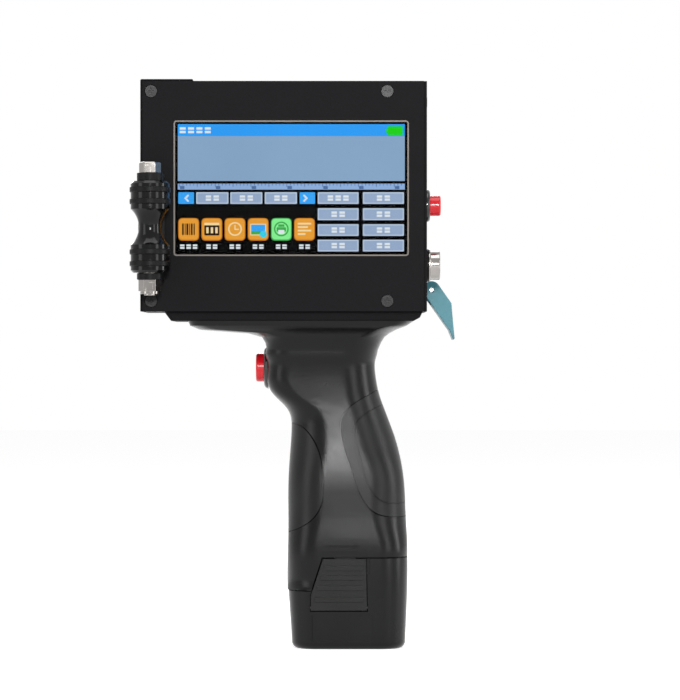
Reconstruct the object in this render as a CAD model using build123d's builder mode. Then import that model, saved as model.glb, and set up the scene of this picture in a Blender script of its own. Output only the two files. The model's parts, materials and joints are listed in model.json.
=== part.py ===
from build123d import *

import math
import os

# Handheld date code inkjet printer.
# +X points to the back of the print head, -X to the surface being printed, -Y to the screen side, +Z up.
# The origin is the centre of the flat battery base that the printer stands on.  Millimetres.

# ---------------------------------------------------------------- driving dimensions
# print head
head_front = -87.4
head_rear = 32.6
head_bottom = 142.1
head_top = 238.6
head_half = 31.0  # half of the depth from the screen face to the far face
cover_sheet = 1.5
nozzle_sheet = 0.8
rear_sheet = 1.2
wall = 2.0
cover_gap = 0.1
top_lip = 22.0  # how far the nozzle plate folds back over the top

# screen
window_size = (98.4, 56.7)
window_centre = (-24.2, 193.65)
window_radius = 1.3
gasket_width = 0.6
glass_size = (104.0, 62.0)
glass_thickness = 1.0
air_gap = 0.3  # between the glass and the display
lcd_size = (105.5, 67.2)
lcd_thickness = 2.9

# fittings on the rear plate, on one line in the screen half of the head
fitting_y = -15.0
power_z = 186.9
connector_z = 161.7
pin_count = 6
pin_circle = 2.4
usb_z = 214.0

# ink bay, in the far half of the head
bay_near = 2.4
bay_far = 28.6
bay_sheet = 1.4
bay_floor = 154.0
bay_top = 217.0
cartridge_front = -74.0
cartridge_length = 58.0
cartridge_bottom = 157.9
cartridge_top = 214.0
cartridge_near = 4.4
cartridge_far = 26.6
snout_tip = -86.4

# guide rollers, one on each side of the head
roller_x = -82.6
roller_y = 42.0
roller_bottom = 158.0
roller_top = 196.0
roller_radius = 8.05
ring_radius = 8.5
waist_radius = 4.7
ring_levels = (161.8, 166.7, 187.6, 192.5)
axle_radius = 2.45
bracket_sheet = 1.6
arm_width = 10.9

# cartridge latch lever
latch_x = 35.4
latch_z = 151.8
latch_droop = 55.0  # degrees below level at rest
latch_near = 5.0
latch_far = 27.0
latch_depth = 3.7
cheek = 2.0

# handle and trigger
flange_top = 138.2
handle_bottom = 24.9
handle_wall = 3.0
pad_thickness = 1.6
rear_pad_seam = (0.8, 0.2)
front_pad_seam = (-0.5, 0.0)
groove_depth = 0.7
groove_shift = (0.9, 0.15)
trigger_x = -34.3
trigger_z = 118.5

# battery pack
seam_low = 24.5
seam_high = 38.4
seam_gap = 0.5
tower_x = -0.9
tower_size = (40.3, 37.8)
tower_radius = 10.5
tower_top = 71.0
tower_wall = 1.5
cell_radius = 9.2
cell_pitch = 18.6
cell_length = 65.0
latch_pivot_z = 17.6
latch_pivot_y = 22.3

housing_front = head_front + nozzle_sheet
housing_rear = head_rear - rear_sheet
cover_inner = head_half - cover_sheet
rear_screw_places = [(y, z) for y in (-25.0, -3.0) for z in (151.0, 230.0)]
cover_screw_places = [(x, z) for x in (-82.8, 16.0) for z in (146.5, 234.2)]
centred = (Align.CENTER, Align.CENTER, Align.CENTER)

os.makedirs("parts", exist_ok=True)


def save(builder, name):
    """Name a finished piece and write it out."""
    builder.part.label = name
    export_step(builder.part, f"parts/{name}.step")


def block(x, y, z, mode=Mode.ADD):
    """A box between two x, two y and two z values, in the part being built."""
    with Locations(((x[0] + x[1]) / 2, (y[0] + y[1]) / 2, (z[0] + z[1]) / 2)):
        Box(x[1] - x[0], y[1] - y[0], z[1] - z[0], align=centred, mode=mode)


def rod(plane, radius, start, end, mode=Mode.ADD):
    """A cylinder along the plane's normal, from start to end, in the part being built."""
    with BuildSketch(plane.offset(start), mode=Mode.PRIVATE) as disc:
        Circle(radius)
    extrude(disc.sketch, amount=end - start, mode=mode)


def hexagon(plane, across_corners, start, end):
    """A hexagonal prism along the plane's normal, from start to end."""
    with BuildSketch(plane.offset(start), mode=Mode.PRIVATE) as outline:
        RegularPolygon(across_corners / 2, 6)
    extrude(outline.sketch, amount=end - start)


def along_x(y, z):
    """A plane facing +X whose offset is the x coordinate."""
    return Plane(origin=(0, y, z), x_dir=(0, 1, 0), z_dir=(1, 0, 0))


def along_y(x, z):
    """A plane facing +Y whose offset is the y coordinate."""
    return Plane(origin=(x, 0, z), x_dir=(-1, 0, 0), z_dir=(0, 1, 0))


def along_z(x, y):
    """A plane facing +Z whose offset is the z coordinate."""
    return Plane(origin=(x, y, 0), x_dir=(1, 0, 0), z_dir=(0, 0, 1))


def screw(plane, face, inward, head_radius, head_height, shank_radius, length):
    """A cross-recessed screw whose head's outer face lies at face and whose shank points inward (+1 or -1)."""
    rod(plane, head_radius, face, face + inward * head_height)
    rod(plane, shank_radius, face, face + inward * length)
    slot_length = head_radius * 1.1
    slot_width = head_radius * 0.28
    with BuildSketch(plane.offset(face), mode=Mode.PRIVATE) as cross:
        Rectangle(slot_length, slot_width)
        Rectangle(slot_width, slot_length)
    extrude(cross.sketch, amount=inward * head_height * 0.6, mode=Mode.SUBTRACT)


# ================================================================ print head shell
rear_bay_y = (bay_near - 0.1, bay_far + 0.1)
rear_bay_z = (146.0, bay_top)

with BuildPart() as main_housing:
    block((housing_front, housing_rear), (-cover_inner, cover_inner), (head_bottom, head_top))
    block(
        (housing_front + wall, housing_rear - wall),
        (-head_half, head_half),
        (head_bottom + wall, head_top - wall),
        mode=Mode.SUBTRACT,
    )
    for x, z in cover_screw_places:
        for side in (-1, 1):
            rod(along_y(x, z), 3.0, side * cover_inner, side * (cover_inner - 5.0))
    for x, z in cover_screw_places:
        rod(along_y(x, z), 1.35, -head_half, head_half, mode=Mode.SUBTRACT)
    block((housing_front - 1, housing_front + wall + 1), (9.0, 22.0), (159.0, 187.0), mode=Mode.SUBTRACT)
    block((housing_rear - wall - 1, housing_rear + 1), rear_bay_y, rear_bay_z, mode=Mode.SUBTRACT)
    rod(along_x(fitting_y, power_z), 5.5, housing_rear - wall - 1, housing_rear + 1, mode=Mode.SUBTRACT)
    rod(along_x(fitting_y, connector_z), 5.1, housing_rear - wall - 1, housing_rear + 1, mode=Mode.SUBTRACT)
    block((housing_rear - wall - 1, housing_rear + 1), (fitting_y - 7, fitting_y + 7),
          (usb_z - 3.9, usb_z + 3.9), mode=Mode.SUBTRACT)
    for y, z in rear_screw_places:
        rod(along_x(y, z), 1.15, housing_rear - wall - 1, housing_rear + 1, mode=Mode.SUBTRACT)
    for x in (-60.0, 18.0):
        for y in (-18.0, 18.0):
            rod(along_z(x, y), 1.7, head_bottom - 1, head_bottom + wall + 1, mode=Mode.SUBTRACT)
    block((-20.0, 6.0), (-18.0, -3.0), (head_bottom - 1, head_bottom + wall + 1), mode=Mode.SUBTRACT)
save(main_housing, "main_housing")


def side_cover(side):
    """One flat cover sheet with its four countersunk screw places."""
    with BuildPart() as cover:
        block(
            (housing_front + cover_gap, housing_rear - cover_gap),
            sorted((side * head_half, side * cover_inner)),
            (head_bottom + cover_gap, head_top - cover_gap),
        )
        fillet(cover.edges().filter_by(Axis.Y), 0.6)
        for x, z in cover_screw_places:
            rod(along_y(x, z), 1.5, side * cover_inner, side * head_half, mode=Mode.SUBTRACT)
            rod(along_y(x, z), 2.65, side * (head_half - 1.0), side * head_half, mode=Mode.SUBTRACT)
        for z in (164.5, 190.0):
            rod(along_y(roller_x, z), 1.3, side * cover_inner, side * head_half, mode=Mode.SUBTRACT)
    return cover


with BuildPart() as screen_side_cover:
    add(side_cover(-1).part)
    with BuildSketch(along_y(*window_centre).offset(-cover_inner)):
        RectangleRounded(*window_size, window_radius)
    extrude(amount=-cover_sheet, mode=Mode.SUBTRACT)
save(screen_side_cover, "screen_side_cover")

far_side_cover = side_cover(1)
save(far_side_cover, "far_side_cover")

with BuildPart() as front_nozzle_plate:
    block((head_front, housing_front), (-cover_inner, cover_inner), (head_bottom, head_top + nozzle_sheet))
    block((head_front, head_front + top_lip), (-cover_inner, cover_inner), (head_top, head_top + nozzle_sheet))
    block((head_front - 1, housing_front + 1), (10.5, 20.5), (161.5, 183.5), mode=Mode.SUBTRACT)
    outer_bend = front_nozzle_plate.edges().filter_by(Axis.Y).group_by(Axis.X)[0].sort_by(Axis.Z)[-1]
    fillet(outer_bend, 0.6)
save(front_nozzle_plate, "front_nozzle_plate")

with BuildPart() as rear_plate:
    block((housing_rear, head_rear), (-cover_inner, cover_inner), (head_bottom, head_top))
    fillet(rear_plate.edges().filter_by(Axis.X), 1.0)
    block((housing_rear - 1, head_rear + 1), (3.4, 27.6), (147.4, 216.4), mode=Mode.SUBTRACT)
    rod(along_x(fitting_y, power_z), 5.5, housing_rear - 1, head_rear + 1, mode=Mode.SUBTRACT)
    rod(along_x(fitting_y, connector_z), 5.1, housing_rear - 1, head_rear + 1, mode=Mode.SUBTRACT)
    block((housing_rear - 1, head_rear + 1), (fitting_y - 6.8, fitting_y + 6.8),
          (usb_z - 3.7, usb_z + 3.7), mode=Mode.SUBTRACT)
    for y, z in rear_screw_places:
        rod(along_x(y, z), 1.3, housing_rear - 1, head_rear + 1, mode=Mode.SUBTRACT)
        rod(along_x(y, z), 2.4, head_rear - 0.75, head_rear + 1, mode=Mode.SUBTRACT)
save(rear_plate, "rear_plate")

with BuildPart() as cover_screws:
    for side in (-1, 1):
        for x, z in cover_screw_places:
            screw(along_y(x, z), side * (head_half + 0.25), -side, 2.5, 1.2, 1.2, 6.0)
save(cover_screws, "cover_screws")

with BuildPart() as rear_plate_screws:
    for y, z in rear_screw_places:
        screw(along_x(y, z), head_rear + 0.15, -1, 2.2, 0.85, 1.0, 4.85)
save(rear_plate_screws, "rear_plate_screws")

# ================================================================ screen
with BuildPart() as window_gasket:
    with BuildSketch(along_y(*window_centre).offset(-cover_inner)):
        RectangleRounded(window_size[0] - 0.02, window_size[1] - 0.02, window_radius)
        RectangleRounded(
            window_size[0] - 2 * gasket_width,
            window_size[1] - 2 * gasket_width,
            window_radius - gasket_width,
            mode=Mode.SUBTRACT,
        )
    extrude(amount=-(cover_sheet - 0.2))
save(window_gasket, "window_gasket")

glass_front = -cover_inner
with BuildPart() as touch_glass:
    with BuildSketch(along_y(*window_centre).offset(glass_front)):
        Rectangle(*glass_size)
    extrude(amount=glass_thickness)
save(touch_glass, "touch_glass")

lcd_front = glass_front + glass_thickness + air_gap
with BuildPart() as lcd_module:
    with BuildSketch(along_y(*window_centre).offset(lcd_front)):
        Rectangle(*lcd_size)
    extrude(amount=lcd_thickness)
    with BuildSketch(along_y(-30.0, window_centre[1]).offset(lcd_front + lcd_thickness)):
        Rectangle(86.0, 50.0)
    extrude(amount=0.5)
save(lcd_module, "lcd_module")

# ================================================================ electronics
chassis_face = 0.2
board_back = -6.4
board_sheet = 1.6
board_x = (-80.0, 4.0)
board_z = (151.0, 231.0)
board_hole_places = [(x, z) for x in (-76.0, 0.0) for z in (155.0, 227.0)]

with BuildPart() as chassis_plate:
    block((housing_front + wall + 0.2, housing_rear - wall - 0.2), (chassis_face, 1.4),
          (head_bottom + wall + 0.2, head_top - wall - 0.2))
    block((-16.0, 2.0), (0.0, 2.0), (head_bottom + wall, 149.0), mode=Mode.SUBTRACT)
    for x, z in board_hole_places:
        rod(along_y(x, z), 1.3, 0.0, 2.0, mode=Mode.SUBTRACT)
save(chassis_plate, "chassis_plate")

with BuildPart() as main_board:
    block(board_x, (board_back - board_sheet, board_back), board_z)
    for x, z in board_hole_places:
        rod(along_y(x, z), 1.6, board_back - board_sheet, board_back, mode=Mode.SUBTRACT)
save(main_board, "main_board")

board_front = board_back - board_sheet
chip_list = [
    # x, z, width, height, thickness
    (-40.0, 196.0, 16.0, 16.0, 1.6),
    (-64.0, 198.0, 12.0, 9.0, 1.2),
    (-20.0, 212.0, 10.0, 10.0, 1.6),
    (-62.0, 172.0, 18.0, 7.0, 6.0),
    (-34.0, 166.0, 14.0, 6.0, 5.0),
    (-8.0, 172.0, 8.0, 22.0, 6.0),
    (-58.0, 222.0, 30.0, 5.0, 2.4),
]
with BuildPart() as board_components:
    for x, z, width, height, thickness in chip_list:
        block((x - width / 2, x + width / 2), (board_front - thickness, board_front),
              (z - height / 2, z + height / 2))
    for x in (-50.0, -38.0):
        rod(along_y(x, 180.0), 4.0, board_front, board_front - 9.0)
    rod(along_y(-14.0, 194.0), 6.0, board_front, board_front - 8.0)
save(board_components, "board_components")

with BuildPart() as board_standoffs:
    for x, z in board_hole_places:
        hexagon(along_y(x, z), 5.8, board_back, chassis_face)
        rod(along_y(x, z), 1.3, board_back, chassis_face, mode=Mode.SUBTRACT)
save(board_standoffs, "board_standoffs")

with BuildPart() as board_screws:
    for x, z in board_hole_places:
        screw(along_y(x, z), board_front - 1.6, 1, 2.5, 1.6, 1.2, 7.0)
        screw(along_y(x, z), 1.4 + 0.9, -1, 2.5, 0.9, 1.2, 3.0)
save(board_screws, "board_screws")

# ================================================================ rear fittings
power_axis = along_x(fitting_y, power_z)
power_cap_radius = 4.3
with BuildPart() as power_button_body:
    rod(power_axis, 6.85, head_rear, head_rear + 1.6)
    fillet(power_button_body.edges().filter_by(GeomType.CIRCLE).sort_by(Axis.X)[-1], 1.2)
    rod(power_axis, 5.3, 20.0, head_rear)
    rod(power_axis, 6.0, 12.0, 20.0)
    rod(power_axis, power_cap_radius + 0.1, 24.0, head_rear + 2, mode=Mode.SUBTRACT)
save(power_button_body, "power_button_body")

with BuildPart() as power_button_nut:
    hexagon(power_axis, 15.0, housing_rear - wall - 2.6, housing_rear - wall)
    rod(power_axis, 5.35, 20.0, housing_rear, mode=Mode.SUBTRACT)
save(power_button_nut, "power_button_nut")

with BuildPart() as power_button_cap:
    rod(power_axis, power_cap_radius, 26.4, 38.7)
    fillet(power_button_cap.edges().filter_by(GeomType.CIRCLE).sort_by(Axis.X)[-1], 0.7)
save(power_button_cap, "power_button_cap")

connector_axis = along_x(fitting_y, connector_z)
with BuildPart() as connector_shell:
    rod(connector_axis, 6.0, head_rear + 0.9, 38.4)
    fillet(connector_shell.edges().filter_by(GeomType.CIRCLE).sort_by(Axis.X)[-1], 0.4)
    rod(connector_axis, 6.9, head_rear + 0.9, head_rear + 1.7)
    rod(connector_axis, 4.9, 24.0, head_rear + 0.9)
    rod(connector_axis, 4.7, 32.0, 39.0, mode=Mode.SUBTRACT)
    rod(connector_axis, 4.0, 23.0, 33.0, mode=Mode.SUBTRACT)
save(connector_shell, "connector_shell")

with BuildPart() as connector_insert:
    rod(connector_axis, 4.0, 23.0, 34.5)
    for index in range(pin_count):
        turn = math.radians(index * 360 / pin_count)
        pin_y = fitting_y + pin_circle * math.cos(turn)
        pin_z = connector_z + pin_circle * math.sin(turn)
        rod(along_x(pin_y, pin_z), 0.45, 34.5, 37.0)
save(connector_insert, "connector_insert")

with BuildPart() as connector_gasket:
    rod(connector_axis, 6.9, head_rear, head_rear + 0.9)
    rod(connector_axis, 4.95, head_rear - 1, head_rear + 2, mode=Mode.SUBTRACT)
save(connector_gasket, "connector_gasket")

with BuildPart() as connector_nut:
    hexagon(connector_axis, 14.5, housing_rear - wall - 2.6, housing_rear - wall)
    rod(connector_axis, 4.95, 20.0, housing_rear, mode=Mode.SUBTRACT)
save(connector_nut, "connector_nut")

with BuildPart() as usb_socket:
    block((16.0, head_rear - 0.1), (fitting_y - 6.5, fitting_y + 6.5), (usb_z - 3.4, usb_z + 3.4))
    block((21.0, head_rear), (fitting_y - 6.1, fitting_y + 6.1), (usb_z - 2.6, usb_z + 2.6), mode=Mode.SUBTRACT)
    block((20.0, head_rear - 1.2), (fitting_y - 5.4, fitting_y + 5.4), (usb_z + 0.2, usb_z + 2.0))
save(usb_socket, "usb_socket")

# ================================================================ ink bay
ear_near = (latch_near + cheek + 0.3, latch_near + cheek + 2.8)
ear_far = (latch_far - cheek - 2.8, latch_far - cheek - 0.3)
latch_axis = along_y(latch_x, latch_z)

with BuildPart() as cartridge_cradle:
    block((-83.5, 30.6), (bay_near, bay_far), (bay_floor, bay_floor + 1.8))
    for side in ((bay_near, bay_near + bay_sheet), (bay_far - bay_sheet, bay_far)):
        block((-83.5, 30.6), side, (bay_floor, bay_top - 0.4))
    block((-83.5, -82.0), (bay_near, bay_far), (188.0, bay_top - 0.4))
    for ear in (ear_near, ear_far):
        block((22.0, latch_x), ear, (latch_z - 2.2, bay_floor + 0.1))
        rod(latch_axis, 2.2, ear[0], ear[1])
    rod(latch_axis, 1.05, 0.0, cover_inner, mode=Mode.SUBTRACT)
    block((31.0, 40.0), (0.0, cover_inner), (bay_floor, bay_floor + 2.0), mode=Mode.SUBTRACT)
save(cartridge_cradle, "cartridge_cradle")

with BuildPart() as contact_block:
    block((-81.9, -76.5), (7.0, 24.0), (190.0, 212.0))
    for row in range(6):
        for column in range(4):
            pin = along_x(9.5 + 4.0 * column, 192.5 + 3.4 * row)
            rod(pin, 0.5, -76.5, cartridge_front - 0.4)
save(contact_block, "contact_block")

carrier_floor = 156.1
carrier_sheet = 1.5
carrier_rear = 31.2
with BuildPart() as cartridge_carrier:
    block((cartridge_front + 1, carrier_rear), (4.3, 26.7), (carrier_floor, carrier_floor + carrier_sheet))
    cartridge_back = cartridge_front + cartridge_length
    block((cartridge_back + 0.2, cartridge_back + 1.7), (4.3, 26.7), (carrier_floor, 205.0))
    block((carrier_rear - carrier_sheet, carrier_rear), (4.3, 26.7), (carrier_floor, 196.0))
    for side in ((4.3, 5.8), (25.2, 26.7)):
        block((cartridge_back + 1, carrier_rear - 1), side, (carrier_floor, 184.0))
    block((carrier_rear - 2, carrier_rear + 1), (10.0, 21.0), (184.0, 191.0), mode=Mode.SUBTRACT)
save(cartridge_carrier, "cartridge_carrier")

with BuildPart() as cartridge_body:
    block((cartridge_front, cartridge_front + cartridge_length), (cartridge_near, cartridge_far),
          (cartridge_bottom, cartridge_top))
    fillet(cartridge_body.edges().filter_by(Axis.Y), 2.5)
    block((snout_tip, cartridge_front + 3), (9.8, 21.2), (160.0, 186.0))
save(cartridge_body, "cartridge_body")

with BuildPart() as cartridge_nozzle_strip:
    block((snout_tip - 0.35, snout_tip), (12.5, 18.5), (165.0, 180.0))
save(cartridge_nozzle_strip, "cartridge_nozzle_strip")

# The lever's profile is drawn in its own frame: s along the lever from the pin, t towards the head when shut.
droop = math.radians(latch_droop)
lever_plane = Plane(
    origin=(latch_x, 0, latch_z),
    x_dir=(math.cos(droop), 0, -math.sin(droop)),
    z_dir=(0, -1, 0),
)
lever_length = 22.9
with BuildPart() as latch_lever:
    for near in (-latch_near - cheek, -latch_far):
        with BuildSketch(lever_plane.offset(near)):
            with BuildLine():
                Line((0, -latch_depth), (18.6, -latch_depth))
                Line((18.6, -latch_depth), (lever_length, -latch_depth - 1.0))
                Line((lever_length, -latch_depth - 1.0), (lever_length, -latch_depth - 0.2))
                Line((lever_length, -latch_depth - 0.2), (17.2, -0.7))
                Line((17.2, -0.7), (9.6, latch_depth))
                Line((9.6, latch_depth), (0, latch_depth))
                RadiusArc((0, latch_depth), (0, -latch_depth), -latch_depth)
            make_face()
        extrude(amount=cheek)
    with BuildSketch(lever_plane.offset(-latch_far)):
        with BuildLine():
            Polyline(
                (5.0, -latch_depth), (18.6, -latch_depth), (lever_length, -latch_depth - 1.0),
                (lever_length, -latch_depth - 0.2), (18.4, -latch_depth + 1.5), (5.0, -latch_depth + 1.5),
                close=True,
            )
        make_face()
    extrude(amount=latch_far - latch_near)
    rod(latch_axis, 1.05, latch_near - 1, latch_far + 1, mode=Mode.SUBTRACT)
save(latch_lever, "latch_lever")

with BuildPart() as latch_pin:
    rod(latch_axis, 0.98, latch_near + 0.2, latch_far - 0.2)
save(latch_pin, "latch_pin")

# ================================================================ guide rollers
upper_arm = (roller_top + 0.2, 199.4)
lower_arm = (155.2, roller_bottom - 0.2)


def roller_bracket(side):
    """A U bracket: a back plate on the cover and two arms that hold the axle bolt."""
    axle = along_z(roller_x, side * roller_y)
    back = sorted((side * head_half, side * (head_half + bracket_sheet)))
    with BuildPart() as bracket:
        block((roller_x - arm_width / 2, roller_x + arm_width / 2), back, (lower_arm[0], upper_arm[1]))
        for arm in (lower_arm, upper_arm):
            block((roller_x - arm_width / 2, roller_x + arm_width / 2),
                  sorted((side * head_half, side * roller_y)), arm)
            rod(axle, arm_width / 2, *arm)
        rod(axle, axle_radius + 0.1, lower_arm[0] - 1, upper_arm[1] + 1, mode=Mode.SUBTRACT)
        for z in (164.5, 190.0):
            rod(along_y(roller_x, z), 1.3, side * head_half, side * (head_half + 3), mode=Mode.SUBTRACT)
            rod(along_y(roller_x, z), 2.3, side * (head_half + 0.6), side * (head_half + 3), mode=Mode.SUBTRACT)
    return bracket


def roller_core(side, bottom):
    """The hard roller: two ribbed barrels joined by a narrow waist, bored for its bushings."""
    waist = (roller_top + roller_bottom) / 2
    axle = along_z(roller_x, side * roller_y)
    with BuildPart() as core:
        with BuildSketch(Plane(origin=axle.origin, x_dir=(1, 0, 0), z_dir=(0, -1, 0))):
            with BuildLine():
                Line((3.2, bottom), (roller_radius - 1.0, bottom))
                Line((roller_radius - 1.0, bottom), (roller_radius, bottom + 1.0))
                Line((roller_radius, bottom + 1.0), (roller_radius, waist - 7.4))
                ThreePointArc(
                    (roller_radius, waist - 7.4), (waist_radius, waist), (roller_radius, waist + 7.4)
                )
                Line((roller_radius, waist + 7.4), (roller_radius, roller_top - 1.0))
                Line((roller_radius, roller_top - 1.0), (roller_radius - 1.0, roller_top))
                Line((roller_radius - 1.0, roller_top), (3.2, roller_top))
                Line((3.2, roller_top), (3.2, bottom))
            make_face()
        revolve(axis=Axis(axle.origin, (0, 0, 1)))
        for end, inner in ((bottom, bottom + 7.0), (roller_top, roller_top - 7.0)):
            rod(axle, 4.05, end, inner, mode=Mode.SUBTRACT)
        for level in ring_levels:
            add(ring(axle, level, ring_radius + 0.5, 2.4), mode=Mode.SUBTRACT)
    return core


def ring(axle, level, radius, width):
    """One rubber ring seated in its groove."""
    with BuildPart() as band:
        rod(axle, radius, level - width / 2, level + width / 2)
        fillet(band.edges().filter_by(GeomType.CIRCLE), 0.45)
        rod(axle, 7.2, level - width, level + width, mode=Mode.SUBTRACT)
    return band.part


def roller_rings(side):
    """All the rubber rings of one roller."""
    axle = along_z(roller_x, side * roller_y)
    with BuildPart() as rings:
        for level in ring_levels:
            add(ring(axle, level, ring_radius, 2.3))
    return rings


def roller_bushings(side, bottom):
    """The two plain bushings that turn on the axle bolt."""
    axle = along_z(roller_x, side * roller_y)
    with BuildPart() as bushings:
        for end, inner in ((bottom, bottom + 6.5), (roller_top, roller_top - 6.5)):
            rod(axle, 4.0, end, inner)
        rod(axle, axle_radius + 0.07, roller_bottom - 1, roller_top + 1, mode=Mode.SUBTRACT)
    return bushings


magnet_top = 160.4
near_roller_bracket = roller_bracket(-1)
save(near_roller_bracket, "near_roller_bracket")

sensor_x = (roller_x - 3.6, roller_x + 3.6)
sensor_z = (170.0, 182.0)
with BuildPart() as far_roller_bracket:
    add(roller_bracket(1).part)
    block(sensor_x, (head_half + 0.6, head_half + 2), sensor_z, mode=Mode.SUBTRACT)
save(far_roller_bracket, "far_roller_bracket")

with BuildPart() as encoder_sensor_board:
    block((sensor_x[0] + 0.2, sensor_x[1] - 0.2), (head_half + 0.6, head_half + 1.4),
          (sensor_z[0] + 0.2, sensor_z[1] - 0.2))
    block((roller_x - 1.5, roller_x + 1.5), (head_half + 1.4, head_half + 2.2), (172.0, 175.0))
save(encoder_sensor_board, "encoder_sensor_board")

near_roller = roller_core(-1, roller_bottom)
save(near_roller, "near_roller")
save(roller_rings(-1), "near_roller_rings")
save(roller_bushings(-1, roller_bottom), "near_roller_bushings")

far_roller = roller_core(1, magnet_top)
save(far_roller, "far_roller")
save(roller_rings(1), "far_roller_rings")
save(roller_bushings(1, magnet_top), "far_roller_bushings")

with BuildPart() as encoder_magnet_ring:
    rod(along_z(roller_x, roller_y), 7.0, roller_bottom, magnet_top)
    rod(along_z(roller_x, roller_y), 3.0, roller_bottom, magnet_top, mode=Mode.SUBTRACT)
save(encoder_magnet_ring, "encoder_magnet_ring")

with BuildPart() as bracket_screws:
    for side in (-1, 1):
        for z in (164.5, 190.0):
            screw(along_y(roller_x, z), side * (head_half + 1.5), -side, 2.2, 0.9, 1.2, 3.0)
save(bracket_screws, "bracket_screws")

with BuildPart() as roller_bolts:
    for side in (-1, 1):
        axle = along_z(roller_x, side * roller_y)
        hexagon(axle, 9.2, upper_arm[1], 204.0)
        rod(axle, axle_radius, 148.6, upper_arm[1])
    chamfer(roller_bolts.faces().sort_by(Axis.Z)[-2:].edges(), 0.5)
save(roller_bolts, "roller_bolts")

with BuildPart() as roller_lock_nuts:
    for side in (-1, 1):
        axle = along_z(roller_x, side * roller_y)
        hexagon(axle, 9.7, 150.4, lower_arm[0])
        rod(axle, 4.0, 149.2, 150.4)
        rod(axle, axle_radius + 0.02, 148.0, lower_arm[0], mode=Mode.SUBTRACT)
save(roller_lock_nuts, "roller_lock_nuts")

# ================================================================ base plate under the head
base_front = -77.6
base_rear = 30.9
base_half = 27.0
with BuildPart() as base_plate:
    with BuildSketch(Plane.XZ):
        with BuildLine():
            Polyline(
                (base_front, head_bottom), (base_front + 2.9, flange_top), (base_rear - 3.8, flange_top),
                (base_rear - 1.2, flange_top + 1.4), (base_rear, head_bottom), close=True,
            )
        make_face()
    extrude(amount=base_half, both=True)
    fillet(base_plate.edges().filter_by(lambda edge: abs(edge.tangent_at(0.5).Y) < 0.01
                                         and edge.bounding_box().size.Z > 3.5), 1.5)
    for x in (-60.0, 18.0):
        for y in (-18.0, 18.0):
            rod(along_z(x, y), 1.7, flange_top - 1, head_bottom + 1, mode=Mode.SUBTRACT)
    block((-20.0, 6.0), (-14.0, -3.0), (flange_top - 1, head_bottom + 1), mode=Mode.SUBTRACT)
save(base_plate, "base_plate")

with BuildPart() as base_plate_screws:
    for x in (-60.0, 18.0):
        for y in (-18.0, 18.0):
            screw(along_z(x, y), head_bottom + wall + 1.8, -1, 3.0, 1.8, 1.4, 9.0)
save(base_plate_screws, "base_plate_screws")

# ================================================================ handle
# Each level of the grip: z, front x, rear x, half width, front corner radius, rear corner radius.
grip_levels = [
    (handle_bottom, -26.0, 24.8, 24.5, 12.0, 12.0),
    (39.0, -26.0, 24.8, 24.5, 13.0, 13.0),
    (50.0, -25.8, 24.5, 24.1, 14.0, 14.5),
    (60.0, -25.8, 24.0, 23.5, 15.0, 16.0),
    (70.0, -25.7, 23.4, 23.0, 15.0, 15.0),
    (80.0, -25.2, 21.9, 22.0, 16.0, 16.0),
    (90.0, -24.5, 19.2, 20.7, 16.0, 17.0),
    (97.0, -24.6, 16.6, 20.0, 15.0, 16.5),
    (102.0, -27.0, 14.7, 19.6, 13.0, 16.0),
    (106.5, -31.5, 13.1, 19.4, 11.0, 15.5),
    (111.0, -34.2, 12.0, 19.3, 10.0, 15.0),
    (119.0, -34.4, 11.0, 19.5, 10.0, 15.0),
    (128.0, -34.6, 12.6, 20.5, 10.0, 14.0),
]


def lofted(levels, inset, ruled=False):
    """One closed solid through rounded rectangles at several levels, drawn in by inset on every side."""
    with BuildPart() as body:
        for z, front, rear, half_width, front_radius, rear_radius in levels:
            with BuildSketch(Plane.XY.offset(z)):
                with Locations(((front + rear) / 2, 0)):
                    Rectangle(rear - front - 2 * inset, 2 * (half_width - inset))
                fillet(vertices().group_by(Axis.X)[0], front_radius - inset)
                fillet(vertices().group_by(Axis.X)[-1], rear_radius - inset)
        loft(ruled=ruled)
    return body.part


def grip_solid(inset, bottom):
    """The grip down to a chosen height, drawn in by inset on every side."""
    return lofted([(bottom, *grip_levels[0][1:])] + grip_levels[1:], inset)


def slab_outline(points):
    """A solid as deep as the grip, with the given closed outline seen from the side."""
    with BuildPart() as slab:
        with BuildSketch(Plane.XZ):
            with BuildLine():
                Polyline(*points, close=True)
            make_face()
        extrude(amount=60.0, both=True)
    return slab.part


grip_outer = grip_solid(0.0, handle_bottom)
grip_under_pads = grip_solid(pad_thickness, handle_bottom)
grip_hollow = grip_solid(handle_wall, handle_bottom - 3)

# Each level of the flange that flares from the grip to the base plate, with the same six values.
flange_levels = [
    (117.5, -33.4, 9.9, 18.6, 9.5, 14.0),
    (123.0, -34.2, 11.2, 19.7, 9.8, 14.2),
    (126.0, -34.75, 12.3, 20.5, 10.0, 14.0),
    (129.0, -35.4, 13.6, 21.4, 10.0, 13.4),
    (131.4, -36.8, 15.0, 22.4, 9.5, 12.5),
    (133.1, -43.0, 17.2, 23.6, 9.0, 11.0),
    (134.6, -63.1, 20.0, 25.4, 8.0, 10.0),
    (136.2, -66.9, 24.2, 27.4, 7.0, 8.0),
    (flange_top, -67.7, 27.2, 28.0, 7.0, 7.0),
]
flange = lofted(flange_levels, 0.0, ruled=True)


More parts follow.
